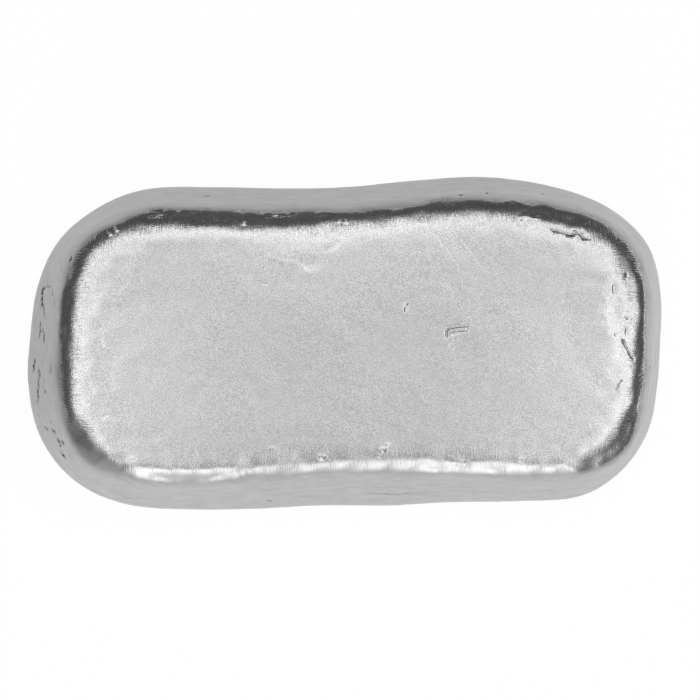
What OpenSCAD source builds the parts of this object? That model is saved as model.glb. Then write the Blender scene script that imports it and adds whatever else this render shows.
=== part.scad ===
// Hand-poured silver bar, lying on its poured face with the mould face up.
// It is one solid casting: an uneven rounded outline from an open mould, drafted
// sides that lean more in some places than in others, a meniscus round the poured
// face, a soft shoulder round the mould face, and the shallow hollow that shrinkage
// leaves in the middle of the poured face.

/* [Bar] */
// Length over the widest line of the sides
bar_length = 108; // [90:1:126]
// Width over the widest line of the sides
bar_width = 56.7; // [48:0.1:66]
// Height from the resting land to the flat of the mould face
bar_height = 19.8; // [17:0.1:24]

/* [Sides] */
// Mean lean of the sides off the vertical, which the mould's draft gives, in degrees
side_draft = 17.5; // [10:0.5:19]
// Radius of the meniscus that turns the side into the poured face
foot_radius = 4.5; // [3:0.1:5.5]
// Radius of the shoulder that turns the side into the mould face
shoulder_radius = 5; // [3:0.1:6]

/* [Mould face] */
// Width of the band inside the shoulder over which the face falls away
margin_width = 3; // [2:0.5:8]
// Slope of the face where it meets the shoulder, in degrees
margin_slope = 8; // [4:1:14]

/* [Poured face] */
// Width of the flat land that the bar rests on
land_width = 4.5; // [3:0.5:8]
// Depth of the shrinkage hollow in the middle of the poured face
hollow_depth = 0.6; // [0.3:0.05:1.2]
// Width of the band over which the hollow falls from the land to its floor
hollow_fall_width = 8; // [5:0.5:11]

/* [Hidden] */

// Points that the widest outline passes through, anticlockwise from the right end.
// Each has its place, as shares of half the length and half the width, and the lean
// of the side there, as a share of the mean lean.
outline_shares = [
    [0.985, 0.00, 0.87], [0.985, 0.32, 0.88], [0.94, 0.61, 0.95], [0.81, 0.83, 0.85],
    [0.63, 0.95, 0.87], [0.42, 1.00, 0.96], [0.21, 0.975, 0.91], [0.00, 0.935, 0.92],
    [-0.21, 0.925, 0.99], [-0.42, 0.93, 1.02], [-0.62, 0.92, 0.88], [-0.77, 0.82, 0.75],
    [-0.90, 0.62, 0.60], [-0.97, 0.35, 0.80], [-0.995, 0.04, 0.95], [-1.00, -0.27, 0.98],
    [-0.96, -0.58, 0.88], [-0.855, -0.83, 0.76], [-0.70, -0.965, 0.94], [-0.50, -1.00, 1.10],
    [-0.29, -0.995, 1.19], [-0.08, -0.975, 1.29], [0.13, -0.975, 1.30], [0.34, -0.955, 1.10],
    [0.55, -0.95, 0.89], [0.73, -0.92, 0.94], [0.86, -0.77, 0.80], [0.945, -0.53, 0.88],
    [0.975, -0.26, 0.84],
];

// Steps that each curve is drawn in: a span of the outline, and the arcs of the section
span_steps = 6;
foot_steps = 5;
shoulder_steps = 7;
margin_steps = 3;
hollow_steps = 5;

// Part of the hollow's fall that runs on below the land, so that its cut is clean
hollow_overrun_share = 0.1;

// Height at which the shoulder meets the face, once the margin has fallen away
margin_drop = margin_width * tan(margin_slope) / 2;
rim_height = bar_height - margin_drop;
shoulder_centre_height = rim_height - shoulder_radius * cos(margin_slope);

// Points of the section, as an inset from the widest line and a height. The foot's arc
// and the shoulder's arc both meet the straight side where they face as it does.
function foot_point(facing) = foot_radius * [1 - cos(facing), 1 + sin(facing)];
function side_end_height(draft) = shoulder_centre_height + shoulder_radius * sin(draft);
function shoulder_centre_inset(draft) =
    let (side_start = foot_point(draft))
    side_start.x + (side_end_height(draft) - side_start.y) * tan(draft) + shoulder_radius * cos(draft);
function shoulder_point(draft, facing) = [
    shoulder_centre_inset(draft) - shoulder_radius * cos(facing),
    shoulder_centre_height + shoulder_radius * sin(facing),
];

// The section from the land up the foot, the side and the shoulder, for one lean
function section(draft) = concat(
    [for (k = [0:foot_steps]) foot_point(-90 + 90 * k / foot_steps)],
    [foot_point(draft)],
    [
        for (k = [0:shoulder_steps])
            shoulder_point(draft, draft + (90 - margin_slope - draft) * k / shoulder_steps)
    ]
);

// Values of a list of points along one axis, how far they spread, and their middle
function column(points, axis) = [for (p = points) p[axis]];
function spread(points, axis) = max(column(points, axis)) - min(column(points, axis));
function middle(points, axis) = (max(column(points, axis)) + min(column(points, axis))) / 2;

// Smooth closed curve through a list of points
function around(list, i) = list[(i + len(list)) % len(list)];
function span_point(a, b, c, d, t) =
    (2 * b + (c - a) * t + (2 * a - 5 * b + 4 * c - d) * t * t + (3 * b - a - 3 * c + d) * t * t * t) / 2;
function closed_curve(points) = [
    for (i = [0:len(points) - 1], k = [0:span_steps - 1])
        span_point(around(points, i - 1), around(points, i), around(points, i + 1), around(points, i + 2),
            k / span_steps)
];

// A curve centred on the origin at a given length and width
function fitted(points, length, width) = [
    for (p = points) [
        (p.x - middle(points, 0)) * length / spread(points, 0),
        (p.y - middle(points, 1)) * width / spread(points, 1),
    ]
];

// An outline drawn in towards its middle, by a distance at its sides and its ends
function shrunk(points, distance) = [
    for (p = points) [
        middle(points, 0) + (p.x - middle(points, 0)) * (1 - 2 * distance / spread(points, 0)),
        middle(points, 1) + (p.y - middle(points, 1)) * (1 - 2 * distance / spread(points, 1)),
    ]
];

// Outward direction of an anticlockwise outline at its point i
function outward(points, i) =
    let (along = around(points, i + 1) - around(points, i - 1))
    [along.y, -along.x] / norm(along);

// A point of the plan at a height
function raised(p, height) = [p.x, p.y, height];

curve = closed_curve(outline_shares);
widest_outline = fitted(curve, bar_length, bar_width);
sections = [for (p = curve) section(atan(p.z * tan(side_draft)))];

// Rings of the skin, from the land up to the shoulder's end
side_rings = [
    for (k = [0:len(sections[0]) - 1]) [
        for (i = [0:len(curve) - 1])
            let (point = sections[i][k])
            raised(widest_outline[i] - point.x * outward(widest_outline, i), point.y)
    ]
];
foot_outline = side_rings[0];
rim_outline = side_rings[len(side_rings) - 1];

// Rings of the margin, from the shoulder's end to the flat of the face
margin_rings = [
    for (k = [1:margin_steps])
        let (u = k / margin_steps)
        [for (p = shrunk(rim_outline, margin_width * u)) raised(p, bar_height - margin_drop * pow(1 - u, 2))]
];

// Rings of the hollow, from just below the land up to its floor
hollow_rings = [
    for (k = [0:hollow_steps])
        let (u = -hollow_overrun_share + (1 + hollow_overrun_share) * k / hollow_steps)
        [
            for (p = shrunk(foot_outline, land_width + hollow_fall_width * u))
                raised(p, hollow_depth * (1 - pow(1 - u, 2)))
        ]
];

// Closed solid skinned over rings that lie one above the other
module skin(rings) {
    count = len(rings[0]);
    last = len(rings) - 1;
    walls = [
        for (r = [0:last - 1], i = [0:count - 1])
            let (j = (i + 1) % count)
            each [
                [r * count + i, (r + 1) * count + j, r * count + j],
                [r * count + i, (r + 1) * count + i, (r + 1) * count + j],
            ]
    ];
    floor_face = [for (i = [0:count - 1]) i];
    top_face = [for (i = [count - 1:-1:0]) last * count + i];
    polyhedron([for (r = rings) each r], concat([floor_face], walls, [top_face]));
}

// The casting as it filled the mould
module casting() {
    skin(concat(side_rings, margin_rings));
}

// The dish that the metal leaves as it shrinks
module shrinkage_hollow() {
    skin(hollow_rings);
}

module silver_bar() {
    color("silver") difference() {
        casting();
        shrinkage_hollow();
    }
}

silver_bar();
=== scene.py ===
import math

import bpy
from mathutils import Matrix, Vector, noise
from mathutils.kdtree import KDTree


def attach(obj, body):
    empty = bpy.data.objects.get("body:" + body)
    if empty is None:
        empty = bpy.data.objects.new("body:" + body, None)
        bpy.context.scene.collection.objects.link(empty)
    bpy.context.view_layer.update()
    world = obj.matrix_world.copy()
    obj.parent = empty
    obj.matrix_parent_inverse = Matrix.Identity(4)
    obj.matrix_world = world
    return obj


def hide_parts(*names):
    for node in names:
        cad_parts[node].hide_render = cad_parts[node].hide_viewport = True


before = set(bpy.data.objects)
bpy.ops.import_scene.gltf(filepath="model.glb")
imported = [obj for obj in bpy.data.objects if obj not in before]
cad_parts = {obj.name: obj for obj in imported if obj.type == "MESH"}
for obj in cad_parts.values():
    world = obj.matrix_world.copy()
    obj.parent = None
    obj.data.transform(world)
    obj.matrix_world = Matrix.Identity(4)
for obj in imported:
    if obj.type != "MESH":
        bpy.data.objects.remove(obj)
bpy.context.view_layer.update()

# The viewpoint: the camera hangs nearly overhead, a little to the left of the bar and in front of it.
# It is a long lens a metre off, so the sides show all round as a narrow band.

mm = 0.001
lens = 300
sensor = 36
photo_side = 700
view_width = 118.75 * mm
lean_left = math.radians(5.7)
lean_front = math.radians(1.4)
aim = Vector((0.64 * mm, -1.21 * mm, 4.5 * mm))
farthest_seen = 10.0

back_to_eye = Vector((-math.tan(lean_left), -math.tan(lean_front), 1.0)).normalized()
eye = aim + back_to_eye * view_width * lens / sensor
across = Vector((0, 1, 0)).cross(back_to_eye).normalized()
upward = back_to_eye.cross(across)
bpy.ops.object.camera_add()
camera = bpy.context.active_object
camera.matrix_world = Matrix((across, upward, back_to_eye)).transposed().to_4x4()
camera.location = eye
camera.data.lens = lens
camera.data.sensor_width = sensor
camera.data.clip_end = farthest_seen
bpy.context.scene.camera = camera
bpy.context.scene.view_settings.view_transform = "Standard"

# The casting: one piece of fine silver, poured into an open iron mould and turned out onto its poured face.
# Its edges drew round as it froze, so its skin has no crease anywhere.

weld_gap = 0.001 * mm
skin_cell = 0.55 * mm
smoothing = 0.5
casting_rounds = 10
smoothing_loss = 0.10 * mm

bar = bpy.data.objects.new("poured_bar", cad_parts["silver_bar"].data.copy())
bpy.context.scene.collection.objects.link(bar)
bpy.ops.object.select_all(action="DESELECT")
bpy.context.view_layer.objects.active = bar
bar.select_set(True)
bar.data.materials.clear()
bpy.ops.object.mode_set(mode="EDIT")
bpy.ops.mesh.select_all(action="SELECT")
bpy.ops.mesh.remove_doubles(threshold=weld_gap)
bpy.ops.object.mode_set(mode="OBJECT")


def finish_with(kind, name, **settings):
    """Gives the bar a modifier with these settings and applies it."""
    modifier = bar.modifiers.new(name, kind)
    for key, value in settings.items():
        setattr(modifier, key, value)
    bpy.ops.object.modifier_apply(modifier=name)


def weigh(name, weight_at):
    """Adds a group that gives each vertex a weight by its place and outward direction."""
    group = bar.vertex_groups.new(name=name)
    for vertex in bar.data.vertices:
        weight = weight_at(vertex.co, vertex.normal)
        if weight > 0:
            group.add([vertex.index], min(weight, 1.0), "REPLACE")


finish_with("REMESH", "even skin", mode="VOXEL", voxel_size=skin_cell, use_smooth_shade=True)
finish_with("SMOOTH", "drawn round", factor=smoothing, iterations=casting_rounds)
weigh("walls", lambda place, facing: 1 - abs(facing.z))
finish_with("DISPLACE", "full width", vertex_group="walls", strength=smoothing_loss, mid_level=0)

# The mould's print: the iron was worn by hand, and the metal froze against it in slow swells, a little
# crowned. The swells mostly sink the skin, and fade out towards the foot, which froze free of the mould.

half_face_length = 47 * mm
half_face_width = 22 * mm

# The crown has its full fall a little past the face's edge, where the way out to the fourth power reaches
# its limit. It falls less at the front.
crown_fall = 0.6 * mm
crown_limit = 1.15
crown_limit_fall = 1.75
crown_front_share = 0.4
crown_depths = (-15 * mm, 5 * mm)
crown_heights = (6 * mm, 17 * mm)

# Where the swells begin and are full: all over the print, in the margin, and in the right front corner
print_heights = (2 * mm, 8 * mm)
margin_span = (0.8, 0.95)
margin_heights = (15 * mm, 18 * mm)
corner_lengths = (24 * mm, 38 * mm)
corner_depths = (2 * mm, -10 * mm)
corner_heights = (17 * mm, 19 * mm)
slow_swell = {"width": 14 * mm, "height": 0.25 * mm, "depth": 0}
small_swell = {"width": 4 * mm, "height": 0.12 * mm, "depth": 1}
margin_swell = {"width": 2.5 * mm, "height": 0.16 * mm, "depth": 0}
corner_swell = {"width": 1.8 * mm, "height": 0.10 * mm, "depth": 1}
swell_level = 0.8


def eased(value, start, end):
    """A share that eases from 0 at the start to 1 at the end."""
    share = min(max((value - start) / (end - start), 0.0), 1.0)
    return share * share * (3 - 2 * share)


def swell(name, group, width, height, depth):
    """Moves the skin of a group in rounded waves of a width and a height, most of them inwards."""
    waves = bpy.data.textures.new(name, "CLOUDS")
    waves.noise_scale = width
    waves.noise_depth = depth
    finish_with("DISPLACE", name, texture=waves, texture_coords="LOCAL", vertex_group=group, strength=height,
                mid_level=swell_level)


def outness(place):
    """How far out a place lies, from 0 in the middle of the face to 1 at its rounded edge."""
    return ((place.x / half_face_length) ** 4 + (place.y / half_face_width) ** 4) ** 0.25


def crown_share(place, facing):
    """How much of the crown's fall a place has: most at the ends and the back, less at the front."""
    fall = min(outness(place), crown_limit) ** 4 / crown_limit_fall
    front_share = crown_front_share + (1 - crown_front_share) * eased(place.y, *crown_depths)
    return fall * front_share * eased(place.z, *crown_heights)


def margin_share(place, facing):
    """How far a place belongs to the margin, where the face turns down into the shoulder."""
    return eased(outness(place), *margin_span) * eased(place.z, *margin_heights)


def corner_share(place, facing):
    """How far a place belongs to the right front corner of the face."""
    across_corner = eased(place.x, *corner_lengths) * eased(place.y, *corner_depths)
    return across_corner * eased(place.z, *corner_heights)


weigh("crown", crown_share)
finish_with("DISPLACE", "crown", direction="Z", vertex_group="crown", strength=-crown_fall, mid_level=0)
weigh("mould print", lambda place, facing: eased(place.z, *print_heights))
swell("slow swells", "mould print", **slow_swell)
swell("small swells", "mould print", **small_swell)
weigh("margin", margin_share)
swell("margin swells", "margin", **margin_swell)
weigh("right front", corner_share)
swell("right front swells", "right front", **corner_swell)

# The poured face: the open top of the pour, which the bar now lies on. It froze last, from its edge inwards,
# and each pause left a shallow ring round the shrinkage hollow.

ring_count = 9
ring_height = 0.08 * mm
ring_drift = 1.2
ring_drift_length = 9 * mm
downward_range = (0.9, 0.98)
hollow_heights = (0.05 * mm, 0.3 * mm)


def ring_share(place, facing):
    """How much a place in the hollow is drawn up by the rings that freezing left."""
    drift = noise.noise(place / ring_drift_length)
    ring = 0.5 + 0.5 * math.cos(2 * math.pi * (ring_count * outness(place) + ring_drift * drift))
    return ring * eased(-facing.z, *downward_range) * eased(place.z, *hollow_heights)


weigh("freezing rings", ring_share)
finish_with("DISPLACE", "freezing rings", direction="Z", vertex_group="freezing rings", strength=ring_height,
            mid_level=0)

# Laps and cold shuts: where the metal reached the mould's wall last, it folded over itself and froze before
# it had filled the fold. Most lie along the back, at the right end and round the front corners.

# A mark's line strays this far, in pixels, over this length. Its depth tapers at its ends, and swings about
# a mean. The noise that strays it is seeded, because without a seed it is another one at each run.
wander = 0.7
wander_length = 2.5
wander_seed = 1
noise.seed_set(wander_seed)
steps_per_pixel = 2
end_share = 0.65
end_rise = 0.08
mean_share = 1.1
share_swing = 0.5

# Under marks that reach less than the first size, the skin is cut down to the second, by so many cuts to an
# edge.
cut_passes = ((1.5 * mm, skin_cell / 3, 2), (0.42 * mm, skin_cell / 6, 1))
cut_margin_cells = 2
longest_edge_cells = 1.5
cut_rounds = 4

# A fold this narrow is darkened in its colour, with oxide and painted shade, and one this deep is darkest.
widest_fold = 0.6 * mm
fold_dark_depth = 0.34 * mm


def on_skin(pixel):
    """The point of the bar's skin that the photograph shows at a pixel."""
    right = (pixel[0] / photo_side - 0.5) * sensor / lens
    up = (0.5 - pixel[1] / photo_side) * sensor / lens
    hit, point, *_ = bar.ray_cast(eye, across * right + upward * up - back_to_eye)
    if not hit:
        raise ValueError(f"pixel {tuple(pixel)} is off the bar")
    return point


def trace(pixels, waver):
    """Points of the skin along a wandering line of pixels, each with its share of the mark's depth."""
    places = []
    for start, end in zip(pixels, pixels[1:] + pixels[-1:]):
        steps = max(1, math.ceil(steps_per_pixel * math.dist(start, end)))
        places += [Vector(start).lerp(Vector(end), k / steps) for k in range(steps)]
    points = []
    for k, place in enumerate(places):
        drift = noise.noise_vector((place / wander_length).to_3d()) * wander * waver
        from_end = min(k, len(places) - 1 - k)
        share = min(1.0, end_share + end_rise * from_end) if len(places) > 2 else 1.0
        share *= mean_share + share_swing * waver * noise.noise((place / wander_length).to_3d())
        points.append((on_skin(place + drift.xy), share))
    return points


def vertex_finder():
    """Sorts the bar's vertices by place, for quick finding."""
    finder = KDTree(len(bar.data.vertices))
    for vertex in bar.data.vertices:
        finder.insert(vertex.co, vertex.index)
    finder.balance()
    return finder


def refine(lines, cell, cuts):
    """Cuts the skin down to a cell size within reach of lines of points, and rounds it again."""
    finder = vertex_finder()
    near = set()
    for reach, points in lines:
        for point, share in points:
            near.update(found[1] for found in finder.find_range(point, reach))
    places = [vertex.co for vertex in bar.data.vertices]
    longest = longest_edge_cells * cell
    chosen = []
    for edge in bar.data.edges:
        start, end = edge.vertices
        chosen.append(start in near and end in near and (places[start] - places[end]).length > longest)
    bar.data.polygons.foreach_set("select", [False] * len(bar.data.polygons))
    bar.data.vertices.foreach_set("select", [False] * len(bar.data.vertices))
    bar.data.edges.foreach_set("select", chosen)
    bpy.ops.object.mode_set(mode="EDIT")
    bpy.ops.mesh.select_mode(type="EDGE")
    bpy.ops.mesh.subdivide(number_cuts=cuts)
    bpy.ops.object.mode_set(mode="OBJECT")
    cut = bar.vertex_groups.new(name="cut")
    cut.add([vertex.index for vertex in bar.data.vertices if vertex.select], 1.0, "REPLACE")
    finish_with("SMOOTH", "rounded", vertex_group="cut", factor=smoothing, iterations=cut_rounds)
    bar.vertex_groups.remove(bar.vertex_groups["cut"])


def press(name, marks, sharp=False, dark_depth=fold_dark_depth, waver=1.0):
    """Raises or sinks the skin along marks. Narrow sharp ones are also noted as folds."""
    bpy.context.view_layer.update()
    lines = [(height * mm, reach * mm, trace(pixels, waver)) for height, reach, *pixels in marks]
    for most, cell, cuts in cut_passes:
        margin = cut_margin_cells * cell
        thin = [(reach + margin, points) for height, reach, points in lines if reach < most]
        if thin:
            refine(thin, cell, cuts)
    finder = vertex_finder()
    heights = {}
    depths = {}
    for height, reach, points in lines:
        shares = {}
        for point, share in points:
            for _, index, distance in finder.find_range(point, reach):
                off = distance / reach
                shape = 1 - off if sharp else (1 - off ** 2) ** 2
                shares[index] = max(share * shape, shares.get(index, 0.0))
        for index, share in shares.items():
            heights[index] = heights.get(index, 0.0) + height * share
            if sharp and reach < widest_fold:
                depths[index] = max(-height * share / dark_depth, depths.get(index, 0.0))
    for way, sign in (("raised", 1), ("sunk", -1)):
        moved = {index: sign * height for index, height in heights.items() if sign * height > 0}
        if moved:
            most = max(moved.values())
            group = bar.vertex_groups.new(name=f"{name} {way}")
            for index, height in moved.items():
                group.add([index], height / most, "REPLACE")
            finish_with("DISPLACE", group.name, vertex_group=group.name, strength=sign * most, mid_level=0)
    for index, depth in depths.items():
        bar.vertex_groups["folds"].add([index], min(depth, 1.0), "REPLACE")


# In this list and those after it, each mark is a height and a reach in mm, then the pixels of the photograph
# that it runs through.
slumped_edges = [
    (0.22, 6.0, (606, 272), (603, 306), (608, 338)),
    (-0.12, 6.0, (640, 266), (642, 300), (641, 330), (638, 352)),
    (-0.12, 3.0, (612, 306), (618, 318)),
    (-0.21, 3.2, (526, 212), (560, 218), (592, 231)),
    (-0.20, 5.5, (262, 222), (345, 220)),
    (-0.12, 2.6, (588, 220), (603, 228), (615, 239), (624, 251)),
]
lapped_ridges = [
    (-0.19, 2.2, (150, 215), (200, 216), (228, 216)),
    (0.06, 2.0, (132, 239), (200, 236), (255, 236)),
    (-0.10, 2.2, (240, 217), (315, 216)),
    (-0.10, 3.0, (300, 460), (345, 460), (420, 463)),
    (-0.08, 1.6, (440, 456), (480, 457)),
    (-0.32, 4.0, (599, 463), (606.5, 460), (618.5, 449), (626.5, 439), (633, 424)),
    (0.42, 2.7, (599, 467.5), (606, 465), (613.5, 461), (624.5, 450.5), (632, 440), (636, 429)),
    (0.16, 2.4, (572, 474), (584, 472)),
    (0.10, 1.4, (64, 280), (61.5, 292), (60.5, 305), (59.5, 320), (58.5, 338)),
    (0.15, 2.2, (430, 198), (480, 198)),
    (-0.30, 3.5, (78, 432), (90, 452), (108, 468)),
    (0.12, 1.5, (524, 218), (545, 222), (565, 226), (586, 230.5)),
    (0.06, 0.50, (520, 217), (527, 216), (533, 219), (540, 218)),
    (0.03, 0.45, (145, 214), (152, 212), (160, 213), (168, 210)),
    (0.03, 0.45, (170, 215), (180, 212), (188, 214), (197, 213)),
    (0.05, 0.40, (264, 214), (268, 212)),
    (0.05, 0.40, (274, 214), (280, 213)),
    (0.05, 0.40, (286, 215), (292, 212)),
    (0.05, 0.45, (318, 213), (326, 212), (333, 213)),
    (0.06, 0.45, (505, 202), (512, 200), (520, 203)),
    (0.05, 0.80, (620, 300), (630, 298)),
    (0.05, 0.90, (606, 300)),
    (0.05, 1.00, (603, 313), (606, 318)),
    (-0.05, 1.00, (612, 309), (616, 314)),
    (0.04, 1.00, (609, 325)),
    (0.05, 1.00, (611, 268), (613, 275)),
    (0.05, 0.80, (619, 389), (622, 384)),
    (0.14, 2.4, (640, 280), (642, 300), (641, 330)),
    (0.08, 2.2, (135, 463), (165, 467), (200, 468), (240, 466)),
    (0.18, 2.2, (425, 474), (455, 475), (500, 475)),
    (-0.08, 2.0, (425, 467), (455, 468), (500, 468), (530, 469)),
    (0.16, 2.2, (135, 479), (165, 485), (205, 486), (240, 481)),
    (0.05, 1.1, (150, 480), (180, 485), (205, 484), (230, 476), (250, 473)),
    (0.02, 0.60, (106, 420), (112, 420), (120, 423)),
    (0.03, 0.60, (267, 256), (280, 261), (296, 263)),
    (0.03, 0.60, (302, 267), (309, 273)),
]
cold_shuts = [
    (-0.22, 0.20, (551, 229), (560, 232), (570, 234.5), (578, 233), (583, 237), (590, 239.5)),
    (-0.10, 0.22, (574, 230), (584, 233)),
    (-0.06, 0.24, (521, 220), (528, 219), (535, 222)),
    (-0.06, 0.24, (147, 217), (160, 215.5), (170, 217)),
    (-0.06, 0.24, (266, 217), (278, 216.5), (290, 215)),
    (-0.20, 0.20, (623.5, 339), (625, 345), (628, 351), (634, 359)),
    (-0.16, 0.22, (613.5, 282), (613.5, 293)),
    (-0.16, 0.20, (627, 273), (627, 280)),
    (-0.18, 0.22, (626, 317), (628, 318)),
    (-0.10, 0.20, (627, 327), (626, 335)),
    (-0.14, 0.22, (614, 332), (616, 335)),
    (-0.14, 0.17, (624, 378), (618, 385), (615, 392)),
    (-0.06, 0.24, (103, 420), (104, 416), (109, 415)),
    (-0.06, 0.24, (88, 379), (90, 385)),
    (-0.06, 0.24, (92, 389), (94, 393)),
    (-0.06, 0.24, (101, 338), (104, 346)),
]

bar.vertex_groups.new(name="folds")
press("slumped edges", slumped_edges, sharp=True)
press("lapped ridges", lapped_ridges)
press("cold shuts", cold_shuts, sharp=True)

# Beads and blisters: gas that came out as the metal froze, caught under the skin at the shoulder.
# Each is a small round swelling of the same silver.

beads = [
    (0.15, 0.95, (322, 456)),
    (0.05, 0.40, (327, 453)),
    (0.16, 0.80, (383, 449)),
    (0.12, 0.55, (387, 444)),
    (0.10, 0.50, (379, 455)),
    (0.09, 0.50, (270, 448.5), (276, 448)),
    (0.30, 0.50, (244, 223.5)),
    (0.20, 0.45, (339, 221.5)),
    (0.24, 0.45, (346, 221.5)),
    (0.20, 0.45, (110, 234)),
    (0.20, 0.45, (116, 230)),
    (0.08, 1.20, (452, 461), (467, 464)),
    (0.12, 0.50, (520, 459)),
]

press("beads", beads)

# Nicks and dents: knocks and fine scratches that the soft face took after it was cast, from the corners of
# other bars and of tools. They are straighter than a fold, and their oxide and painted shade darken from a
# smaller depth.

nick_waver = 0.2
nick_dark_depth = 0.2 * mm

dents = [
    (-0.10, 1.40, (304, 264), (314, 264.5)),
    (-0.05, 0.80, (338, 242), (333, 246), (326, 251)),
    (0.06, 0.60, (402, 309), (403, 312)),
    (0.03, 0.60, (552, 360), (553, 368)),
]
nicks = [
    (-0.15, 0.21, (447, 338), (446.5, 331), (449, 328.5), (457, 327), (469, 326)),
    (-0.15, 0.21, (451.5, 335), (450.8, 333), (455, 331.7), (462, 330.7), (468, 330)),
    (-0.09, 0.19, (453.5, 340), (452.5, 350)),
    (-0.04, 0.18, (450, 342), (449.8, 348)),
    (-0.18, 0.22, (405, 311), (407.5, 303)),
    (-0.14, 0.20, (263.5, 267)),
    (-0.14, 0.20, (271, 292.5)),
    (-0.08, 0.20, (262, 284), (267, 284.5)),
    (-0.12, 0.20, (425, 232)),
    (-0.04, 0.22, (591, 423), (592, 429)),
    (-0.02, 0.18, (434, 232), (450, 252), (462, 270)),
    (-0.02, 0.18, (452, 228), (470, 250), (486, 272)),
    (-0.03, 0.20, (470, 227), (480, 223.5), (490, 222)),
    (-0.02, 0.18, (476, 240), (492, 262)),
    (-0.03, 0.20, (212, 450), (215, 460)),
    (-0.03, 0.20, (196, 447), (199, 456)),
]

press("dents", dents)
press("nicks", nicks, sharp=True, dark_depth=nick_dark_depth, waver=nick_waver)

# Cracks and pits in the sides: the skin froze first where it touched the mould's cold walls, and tore as the
# metal inside drew in. The tears along the front are shallow, and their dark is mostly painted shade.

crack_dark_depth = 0.24 * mm
tear_dark_depth = 0.08 * mm

cracks = [
    (-0.36, 0.48, (43, 287.5), (42, 292), (42.2, 298), (41.9, 304), (43.1, 309), (44, 314)),
    (-0.30, 0.40, (44, 288), (47, 286), (49.5, 286.6)),
    (-0.20, 0.34, (52.4, 290), (52.6, 296)),
    (-0.14, 0.30, (53.7, 300), (54.2, 306)),
    (-0.12, 0.30, (57.5, 275), (58, 283)),
    (-0.12, 0.30, (61.5, 263), (60.5, 271)),
    (-0.18, 0.34, (71.5, 257), (71, 261)),
    (-0.14, 0.26, (45, 315), (46, 320)),
    (-0.22, 0.34, (40.6, 322), (40.2, 330), (38.9, 339)),
    (-0.22, 0.34, (42.8, 329), (43.8, 334), (44.4, 342)),
    (-0.30, 0.36, (34.6, 360), (34, 365), (33.4, 370.5)),
    (-0.27, 0.42, (38.7, 370), (39.7, 375), (37.9, 381), (38.8, 387), (37.4, 392),
     (38.6, 397), (36.9, 402)),
    (-0.18, 0.42, (50.3, 365), (50.6, 374)),
    (-0.24, 0.36, (45, 391), (45, 393)),
    (-0.15, 0.34, (37.5, 412), (38.5, 415)),
    (-0.20, 0.34, (50, 421), (50.5, 424)),
    (-0.36, 0.46, (44.4, 427.5), (47.5, 430)),
    (-0.34, 0.46, (52, 430), (55, 433)),
    (-0.36, 0.46, (58, 439), (60, 446)),
    (-0.30, 0.42, (61.5, 440.5), (64, 445)),
    (-0.38, 0.46, (61, 452.5), (65, 458.5)),
    (-0.16, 0.40, (69, 455), (71, 458)),
    (-0.30, 0.36, (205, 196), (209, 196)),
    (-0.24, 0.30, (459, 195), (463, 195)),
    (-0.28, 0.36, (486, 193), (487, 193)),
    (-0.24, 0.30, (542.5, 194)),
    (-0.16, 0.34, (650, 366), (650, 371)),
    (-0.18, 0.30, (643, 422)),
]
front_tears = [
    (-0.07, 0.28, (120, 495), (126, 498), (134, 499), (143, 497)),
    (-0.12, 0.40, (267, 501), (271, 501)),
    (-0.05, 0.26, (298, 497.5), (306, 496.5), (313, 496)),
    (-0.06, 0.26, (338, 497)),
    (-0.08, 0.28, (366, 495), (374, 493.5), (386, 494), (398, 494.5), (412, 493)),
    (-0.06, 0.26, (412, 494), (430, 492.5), (446, 493)),
    (-0.045, 0.24, (458, 491), (480, 489.5), (500, 490)),
    (-0.08, 0.30, (546, 490), (552, 490)),
    (-0.10, 0.30, (602.5, 474)),
]

press("cracks", cracks, sharp=True, dark_depth=crack_dark_depth)
press("front tears", front_tears, sharp=True, dark_depth=tear_dark_depth)

# The finish: cast fine silver, left as it came from the mould. The face lay on the mould's floor and is
# bright and finely sanded, with painted light at its ends and back. The sides drew away from the walls and
# are greyer and duller, their grey partly painted shade and darkest at the back left, and the narrow folds
# are darkened with oxide and painted shade.


def linear(hex_colour):
    """Linear red, green, blue and alpha of an sRGB hex colour."""
    parts = [int(hex_colour[i : i + 2], 16) / 255 for i in (0, 2, 4)]
    return [c / 12.92 if c <= 0.04045 else ((c + 0.055) / 1.055) ** 2.4 for c in parts] + [1.0]


def add_node(tree, kind, inputs=None, **settings):
    """Adds a node to a tree, with its settings, its input values and the links into it."""
    node = tree.nodes.new(kind)
    for key, value in settings.items():
        setattr(node, key, value)
    for key, value in (inputs or {}).items():
        if isinstance(value, bpy.types.NodeSocket):
            tree.links.new(value, node.inputs[key])
        else:
            node.inputs[key].default_value = value
    return node


face_colour = linear("f2f2f1")
speck_colour = linear("cfcfcf")
# The sides' grey is partly a duller skin and partly painted shade, for the shadowed floor that they mirror.
side_grey_and_shade = linear("bebebe")
# Painted shade: the sides are darker still towards the back left.
back_left_shade = linear("acacac")
oxide_and_shade_colour = linear("38383a")
face_roughness = 0.2
side_roughness = 0.42

# Skin up to the face's slope is bright, and skin past the side's slope takes the sides' grey, which is partly
# painted shade. The front turns grey sooner.
side_slope = math.cos(math.radians(46))
face_slope = math.cos(math.radians(40.5))
front_face_slope = math.cos(math.radians(28))
front_start = -14 * mm
front_end = -20 * mm

# The sand's grain is about 0.1 mm and the streaks are as fine. Both are drawn coarser, so that they show.
grain_size = 0.18 * mm
grain_height = 0.03 * mm
grain_low = 0.35
grain_high = 0.65
smooth_speck = 0.7
streak_width = 0.2 * mm
streak_length = 1.5 * mm
streak_height = 0.08 * mm
streak_low = 0.25
streak_high = 0.75
streak_turn = 0.1
front_streak_share = 0.25
ragged_in = 0.06
ragged_out = 0.03

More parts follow.
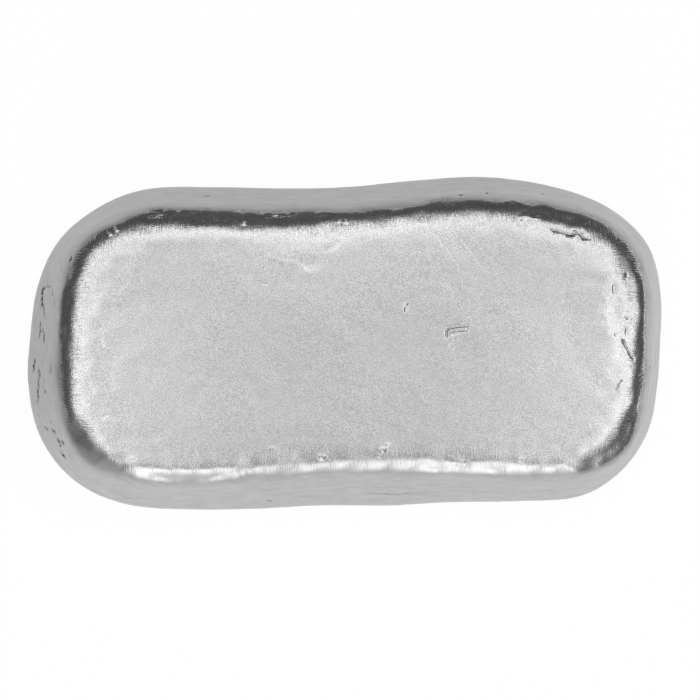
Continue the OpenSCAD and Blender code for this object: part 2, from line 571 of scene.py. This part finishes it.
# Heights where the sand and the streaks begin and end. The sand begins higher along the front, and lower in
# the right front corner.
sand_start = 17.7 * mm
sand_full = 18.9 * mm
front_sand_rise = 0.8 * mm
corner_sand_drop = 1.6 * mm
corner_sand_right = (28 * mm, 42 * mm)
corner_sand_front = (-2 * mm, -14 * mm)
streak_start = (17.2 * mm, 18.2 * mm)
streak_end = (19.2 * mm, 19.6 * mm)

# Painted light: the face's colour is made lighter at both ends and at its back, and a little darker between,
# standing in for how the light falls. Patches break it up.
painted_light_gain = 0.16
painted_light_ends = (12 * mm, 44 * mm)
painted_light_forward = (15 * mm, -5 * mm)
painted_light_back_share = 0.35
light_pool_offset = 6 * mm
light_pool_half_length = (10 * mm, 34 * mm)
light_pool_share = 0.6
light_pool_back = (-2 * mm, 22 * mm)
patch_size = 0.9 * mm
patch_levels = (0.875, 0.98)
cloud_low = 0.3
cloud_high = 0.7

# The sides carry more painted shade towards the back left, and are mottled along their length.
half_bar_length = 54 * mm
half_bar_width = 28 * mm
shade_left_share = 0.6
shade_back_share = 0.8
shade_direction = (-shade_left_share / half_bar_length, shade_back_share / half_bar_width, 0.0)
shade_range = (-0.5, 0.6)
mottle_length = 3.0 * mm
mottle_width = 1.0 * mm
mottle_levels = (0.9, 1.08)

# Oxide and painted shade darken a fold from this share of its full depth.
oxide_and_shade_start = 0.45
oxide_and_shade_most = 0.44

folds = bar.vertex_groups["folds"].index
fold_depth = bar.data.attributes.new("fold", "FLOAT", "POINT")
for vertex in bar.data.vertices:
    for member in vertex.groups:
        if member.group == folds:
            fold_depth.data[vertex.index].value = member.weight

# Cast fine silver is the whitest of metals. Against the mould's floor it froze to a satin with a fine sandy
# sparkle, and where it froze free it is smoother and mirrors only broad light and dark; its grey there is
# partly painted shade.
silver = bpy.data.materials.new("cast fine silver")
silver.use_nodes = True
tree = silver.node_tree
shader = tree.nodes["Principled BSDF"]
shader.inputs["Metallic"].default_value = 1.0

# Where the skin is and which way it faces
place = add_node(tree, "ShaderNodeTexCoord").outputs["Object"]
axes = add_node(tree, "ShaderNodeSeparateXYZ", {"Vector": place}).outputs
facing = add_node(tree, "ShaderNodeNewGeometry").outputs["Normal"]
facing = add_node(tree, "ShaderNodeVectorMath", {0: facing}, operation="ABSOLUTE").outputs["Vector"]
facing = add_node(tree, "ShaderNodeSeparateXYZ", {"Vector": facing}).outputs
lengthwise = add_node(tree, "ShaderNodeMath", {0: axes["X"]}, operation="ABSOLUTE").outputs[0]
not_front = add_node(
    tree, "ShaderNodeMapRange",
    {"Value": axes["Y"], "From Min": front_start, "From Max": front_end, "To Min": 1.0,
     "To Max": front_streak_share},
).outputs["Result"]

# Streaks that run down the shoulder, turned by a quarter at the two ends
endways = add_node(tree, "ShaderNodeMath", {0: facing["X"], 1: facing["Y"]}, operation="SUBTRACT").outputs[0]
at_ends = add_node(
    tree, "ShaderNodeMapRange", {"Value": endways, "From Min": -streak_turn, "From Max": streak_turn}
).outputs["Result"]
streaks = []
for grid in ((streak_width, streak_length, streak_length), (streak_length, streak_width, streak_length)):
    streak_place = add_node(
        tree, "ShaderNodeVectorMath", {0: place, 1: [1 / size for size in grid]}, operation="MULTIPLY"
    ).outputs["Vector"]
    streaks.append(add_node(
        tree, "ShaderNodeTexNoise", {"Vector": streak_place, "Scale": 1.0, "Detail": 1.0}
    ).outputs["Fac"])
streak = add_node(tree, "ShaderNodeMix", {0: at_ends, 2: streaks[0], 3: streaks[1]}).outputs[0]

# How far the skin counts as face, with an edge that the streaks make ragged
ragged = add_node(
    tree, "ShaderNodeMapRange",
    {"Value": streak, "From Min": streak_low, "From Max": streak_high, "To Min": -ragged_in,
     "To Max": ragged_out},
).outputs["Result"]
level = add_node(
    tree, "ShaderNodeMath", {0: ragged, 1: not_front, 2: facing["Z"]}, operation="MULTIPLY_ADD"
).outputs[0]
bright_slope = add_node(
    tree, "ShaderNodeMapRange",
    {"Value": axes["Y"], "From Min": front_start, "From Max": front_end, "To Min": face_slope,
     "To Max": front_face_slope},
).outputs["Result"]
on_face = add_node(
    tree, "ShaderNodeMapRange", {"Value": level, "From Min": side_slope, "From Max": bright_slope},
    interpolation_type="SMOOTHSTEP",
).outputs["Result"]

# The sand's print, which gives the face its specks
grain = add_node(
    tree, "ShaderNodeTexNoise", {"Vector": place, "Scale": 1 / grain_size, "Detail": 1.0, "Roughness": 0.5}
).outputs["Fac"]
sand_height = add_node(
    tree, "ShaderNodeMath", {0: not_front, 1: front_sand_rise, 2: axes["Z"]}, operation="MULTIPLY_ADD"
).outputs[0]
sand_height = add_node(
    tree, "ShaderNodeMath", {0: sand_height, 1: front_sand_rise}, operation="SUBTRACT"
).outputs[0]
rightward = add_node(
    tree, "ShaderNodeMapRange",
    {"Value": axes["X"], "From Min": corner_sand_right[0], "From Max": corner_sand_right[1],
     "To Max": corner_sand_drop},
    interpolation_type="SMOOTHSTEP",
).outputs["Result"]
cornerward = add_node(
    tree, "ShaderNodeMapRange",
    {"Value": axes["Y"], "From Min": corner_sand_front[0], "From Max": corner_sand_front[1]},
    interpolation_type="SMOOTHSTEP",
).outputs["Result"]
sand_height = add_node(
    tree, "ShaderNodeMath", {0: rightward, 1: cornerward, 2: sand_height}, operation="MULTIPLY_ADD"
).outputs[0]
sandiness = add_node(
    tree, "ShaderNodeMapRange", {"Value": sand_height, "From Min": sand_start, "From Max": sand_full},
    interpolation_type="SMOOTHSTEP",
).outputs["Result"]
speck = add_node(
    tree, "ShaderNodeMapRange", {"Value": grain, "From Min": grain_low, "From Max": grain_high}
).outputs["Result"]
speck = add_node(tree, "ShaderNodeMix", {0: sandiness, 2: smooth_speck, 3: speck}).outputs[0]
sanded = add_node(
    tree, "ShaderNodeMix", {0: speck, 6: speck_colour, 7: face_colour}, data_type="RGBA"
).outputs[2]

# The painted light over the sand
ends = add_node(
    tree, "ShaderNodeMapRange", {"Value": lengthwise, "From Min": painted_light_ends[0], "From Max": painted_light_ends[1]},
    interpolation_type="SMOOTHSTEP",
).outputs["Result"]
forward = add_node(
    tree, "ShaderNodeMapRange",
    {"Value": axes["Y"], "From Min": painted_light_forward[0], "From Max": painted_light_forward[1],
     "To Min": painted_light_back_share, "To Max": 1.0},
    interpolation_type="SMOOTHSTEP",
).outputs["Result"]
painted_face_light = add_node(tree, "ShaderNodeMath", {0: ends, 1: forward}, operation="MULTIPLY").outputs[0]
painted_light_pool = add_node(tree, "ShaderNodeMath", {0: axes["X"], 1: light_pool_offset}, operation="ADD").outputs[0]
painted_light_pool = add_node(tree, "ShaderNodeMath", {0: painted_light_pool}, operation="ABSOLUTE").outputs[0]
painted_light_pool = add_node(
    tree, "ShaderNodeMapRange",
    {"Value": painted_light_pool, "From Min": light_pool_half_length[0], "From Max": light_pool_half_length[1],
     "To Min": light_pool_share, "To Max": 0.0},
    interpolation_type="SMOOTHSTEP",
).outputs["Result"]
backward = add_node(
    tree, "ShaderNodeMapRange", {"Value": axes["Y"], "From Min": light_pool_back[0], "From Max": light_pool_back[1]},
    interpolation_type="SMOOTHSTEP",
).outputs["Result"]
painted_face_light = add_node(
    tree, "ShaderNodeMath", {0: painted_light_pool, 1: backward, 2: painted_face_light}, operation="MULTIPLY_ADD"
).outputs[0]
patch = add_node(
    tree, "ShaderNodeTexNoise", {"Vector": place, "Scale": 1 / patch_size, "Detail": 2.0, "Roughness": 0.6}
).outputs["Fac"]
patch = add_node(
    tree, "ShaderNodeMapRange",
    {"Value": patch, "From Min": cloud_low, "From Max": cloud_high, "To Min": patch_levels[0],
     "To Max": patch_levels[1]},
).outputs["Result"]
painted_face_light = add_node(
    tree, "ShaderNodeMath", {0: painted_face_light, 1: painted_light_gain, 2: patch}, operation="MULTIPLY_ADD"
).outputs[0]
sanded = add_node(
    tree, "ShaderNodeMix", {0: 1.0, 6: sanded, 7: painted_face_light}, data_type="RGBA", blend_type="MULTIPLY"
).outputs[2]

# The sides: grey with painted shade, darkest at the back left, and mottled
slant = add_node(
    tree, "ShaderNodeVectorMath", {0: place, 1: shade_direction}, operation="DOT_PRODUCT"
).outputs["Value"]
back_left_shading = add_node(
    tree, "ShaderNodeMapRange", {"Value": slant, "From Min": shade_range[0], "From Max": shade_range[1]},
    interpolation_type="SMOOTHSTEP",
).outputs["Result"]
side = add_node(
    tree, "ShaderNodeMix", {0: back_left_shading, 6: side_grey_and_shade, 7: back_left_shade}, data_type="RGBA"
).outputs[2]
mottle_grid = (1 / mottle_length, 1 / mottle_length, 1 / mottle_width)
mottle_place = add_node(
    tree, "ShaderNodeVectorMath", {0: place, 1: mottle_grid}, operation="MULTIPLY"
).outputs["Vector"]
mottle = add_node(
    tree, "ShaderNodeTexNoise", {"Vector": mottle_place, "Scale": 1.0, "Detail": 3.0, "Roughness": 0.6}
).outputs["Fac"]
mottle = add_node(
    tree, "ShaderNodeMapRange",
    {"Value": mottle, "From Min": cloud_low, "From Max": cloud_high, "To Min": mottle_levels[0],
     "To Max": mottle_levels[1]},
).outputs["Result"]
side = add_node(
    tree, "ShaderNodeMix", {0: 1.0, 6: side, 7: mottle}, data_type="RGBA", blend_type="MULTIPLY"
).outputs[2]

# Face, sides, and the oxide and painted shade in folds together
colour = add_node(tree, "ShaderNodeMix", {0: on_face, 6: side, 7: sanded}, data_type="RGBA").outputs[2]
fold = add_node(tree, "ShaderNodeAttribute", attribute_name="fold").outputs["Fac"]
oxide_and_shade_share = add_node(
    tree, "ShaderNodeMapRange",
    {"Value": fold, "From Min": oxide_and_shade_start, "From Max": 1.0, "To Max": oxide_and_shade_most},
).outputs["Result"]
colour = add_node(tree, "ShaderNodeMix", {0: oxide_and_shade_share, 6: colour, 7: oxide_and_shade_colour}, data_type="RGBA").outputs[2]
tree.links.new(colour, shader.inputs["Base Color"])
rough = add_node(
    tree, "ShaderNodeMapRange", {"Value": on_face, "To Min": side_roughness, "To Max": face_roughness}
).outputs["Result"]
tree.links.new(rough, shader.inputs["Roughness"])

# The fine relief: sand on the face, and streaks on the shoulder
bump = add_node(
    tree, "ShaderNodeBump", {"Height": grain, "Strength": sandiness, "Distance": grain_height}
).outputs["Normal"]
streaks_begin = add_node(
    tree, "ShaderNodeMapRange",
    {"Value": axes["Z"], "From Min": streak_start[0], "From Max": streak_start[1]},
    interpolation_type="SMOOTHSTEP",
).outputs["Result"]
streaks_last = add_node(
    tree, "ShaderNodeMapRange",
    {"Value": axes["Z"], "From Min": streak_end[0], "From Max": streak_end[1], "To Min": 1.0, "To Max": 0.0},
    interpolation_type="SMOOTHSTEP",
).outputs["Result"]
streakiness = streaks_begin
for limit in (streaks_last, not_front):
    streakiness = add_node(
        tree, "ShaderNodeMath", {0: streakiness, 1: limit}, operation="MULTIPLY"
    ).outputs[0]
bump = add_node(
    tree, "ShaderNodeBump",
    {"Height": streak, "Strength": streakiness, "Distance": streak_height, "Normal": bump},
).outputs["Normal"]
tree.links.new(bump, shader.inputs["Normal"])
bar.data.materials.append(silver)

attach(bar, "root")
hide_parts("silver_bar")

# The floor: a plain white sweep of paper, laid flat under the bar and wide on every side.
# It keeps a faint shadow round the bar.

floor_radius = 3.0
floor_corners = 96
paper_colour = linear("fafafa")
glow_colour = linear("ffffff")
glow_share = 0.9
glow_strength = 1.05

bpy.ops.object.select_all(action="DESELECT")
bpy.ops.mesh.primitive_circle_add(
    vertices=floor_corners, radius=floor_radius, fill_type="NGON", location=(0, 0, 0)
)
floor = bpy.context.active_object
floor.name = "floor"

# White paper is matt and even. It is seen as plain white, straight on or mirrored in the silver.
paper = bpy.data.materials.new("white paper")
paper.use_nodes = True
tree = paper.node_tree
tree.nodes.remove(tree.nodes["Principled BSDF"])
light_path = add_node(tree, "ShaderNodeLightPath").outputs
seen = light_path["Is Camera Ray"]
for ray in ("Is Glossy Ray", "Is Transmission Ray"):
    seen = add_node(tree, "ShaderNodeMath", {0: seen, 1: light_path[ray]}, operation="MAXIMUM").outputs[0]
glowing = add_node(tree, "ShaderNodeMath", {0: seen, 1: glow_share}, operation="MULTIPLY").outputs[0]
matt = add_node(tree, "ShaderNodeBsdfDiffuse", {"Color": paper_colour}).outputs[0]
glow = add_node(tree, "ShaderNodeEmission", {"Color": glow_colour, "Strength": glow_strength}).outputs[0]
mixed = add_node(tree, "ShaderNodeMixShader", {0: glowing, 1: matt, 2: glow}).outputs[0]
tree.links.new(mixed, tree.nodes["Material Output"].inputs["Surface"])
floor.data.materials.append(paper)

# The light: a tent over the bar, with a dim mouth at the top, bright cloth round it, and an open dark room
# below that at the back and the sides. A white card closes the front.

horizon = 90
room = (0.072, 0.071, 0.077)
tent_lean = math.radians(5)
tent_axis = Vector((math.tan(tent_lean), 0.0, 1.0)).normalized()

# The card fades out between these turns from the front, and a little of its light spills on further round.
card_turns = (math.radians(5), math.radians(31))
spill_turns = (math.radians(20), math.radians(80))
spill_share = 0.18

# The card's bright band bends up towards its sides, by a share of the way from zenith to horizon. Only its
# lower part bends.
bend_turns = (math.radians(3), math.radians(25))
bend_most = 0.25
bend_start = 31 / horizon
bend_full = 46 / horizon

world = bpy.data.worlds.new("studio")
bpy.context.scene.world = world
world.use_nodes = True
tree = world.node_tree

# How far a direction lies from the zenith, and how far it is turned from the front
way = add_node(tree, "ShaderNodeTexCoord").outputs["Generated"]
parts = add_node(tree, "ShaderNodeSeparateXYZ", {"Vector": way}).outputs
off_axis = add_node(
    tree, "ShaderNodeVectorMath", {0: way, 1: tent_axis}, operation="DOT_PRODUCT"
).outputs["Value"]
polar = add_node(tree, "ShaderNodeMath", {0: off_axis}, operation="ARCCOSINE").outputs[0]
polar = add_node(
    tree, "ShaderNodeMapRange", {"Value": polar, "From Min": 0.0, "From Max": math.pi / 2}
).outputs["Result"]
to_front = add_node(tree, "ShaderNodeMath", {0: parts["Y"], 1: -1.0}, operation="MULTIPLY").outputs[0]
turn = add_node(tree, "ShaderNodeMath", {0: parts["X"], 1: to_front}, operation="ARCTAN2").outputs[0]
turn = add_node(tree, "ShaderNodeMath", {0: turn}, operation="ABSOLUTE").outputs[0]

# How much of a direction the card covers, and how far its bright band bends there
front = add_node(
    tree, "ShaderNodeMapRange",
    {"Value": turn, "From Min": card_turns[0], "From Max": card_turns[1], "To Min": 1.0, "To Max": 0.0},
    interpolation_type="SMOOTHSTEP",
).outputs["Result"]
spill = add_node(
    tree, "ShaderNodeMapRange",
    {"Value": turn, "From Min": spill_turns[0], "From Max": spill_turns[1], "To Min": spill_share,
     "To Max": 0.0},
    interpolation_type="SMOOTHSTEP",
).outputs["Result"]
front = add_node(tree, "ShaderNodeMath", {0: front, 1: spill}, operation="MAXIMUM").outputs[0]
bend = add_node(
    tree, "ShaderNodeMapRange",
    {"Value": turn, "From Min": bend_turns[0], "From Max": bend_turns[1], "To Min": 0.0, "To Max": bend_most},
    interpolation_type="SMOOTHSTEP",
).outputs["Result"]
low = add_node(
    tree, "ShaderNodeMapRange", {"Value": polar, "From Min": bend_start, "From Max": bend_full},
    interpolation_type="SMOOTHSTEP",
).outputs["Result"]
card_polar = add_node(
    tree, "ShaderNodeMath", {0: bend, 1: low, 2: polar}, operation="MULTIPLY_ADD"
).outputs[0]


def tent_ramp(height, levels):
    """A ramp from zenith to horizon, through pairs of an angle in degrees and a brightness or a colour."""
    ramp = add_node(tree, "ShaderNodeValToRGB", {"Fac": height})
    ramp.color_ramp.interpolation = "EASE"
    points = ramp.color_ramp.elements
    while len(points) < len(levels):
        points.new(0.5)
    for point, (angle, level) in zip(points, levels):
        point.position = angle / horizon
        point.color = (*level, 1.0) if isinstance(level, tuple) else (level, level, level, 1.0)
    return ramp.outputs["Color"]


cloth_levels = (
    (0, 0.585), (2, 0.59), (5, 0.65), (10, 0.78), (20, 1.12), (33, 1.28), (43, 0.24), (52, 0.12), (62, room),
    (82, room), (90, 0.17),
)
card_levels = (
    (0, 0.585), (4, 0.58), (8, 0.54), (16, 0.39), (24, 0.27), (32, 0.20), (42, 0.24), (50, 1.40), (58, 1.46),
    (66, 1.24), (74, 1.08), (86, 0.95),
)
side_cloth = tent_ramp(polar, cloth_levels)
front_card = tent_ramp(card_polar, card_levels)
blend = add_node(
    tree, "ShaderNodeMix", {0: front, 6: side_cloth, 7: front_card}, data_type="RGBA"
).outputs[2]
tree.links.new(blend, tree.nodes["Background"].inputs["Color"])
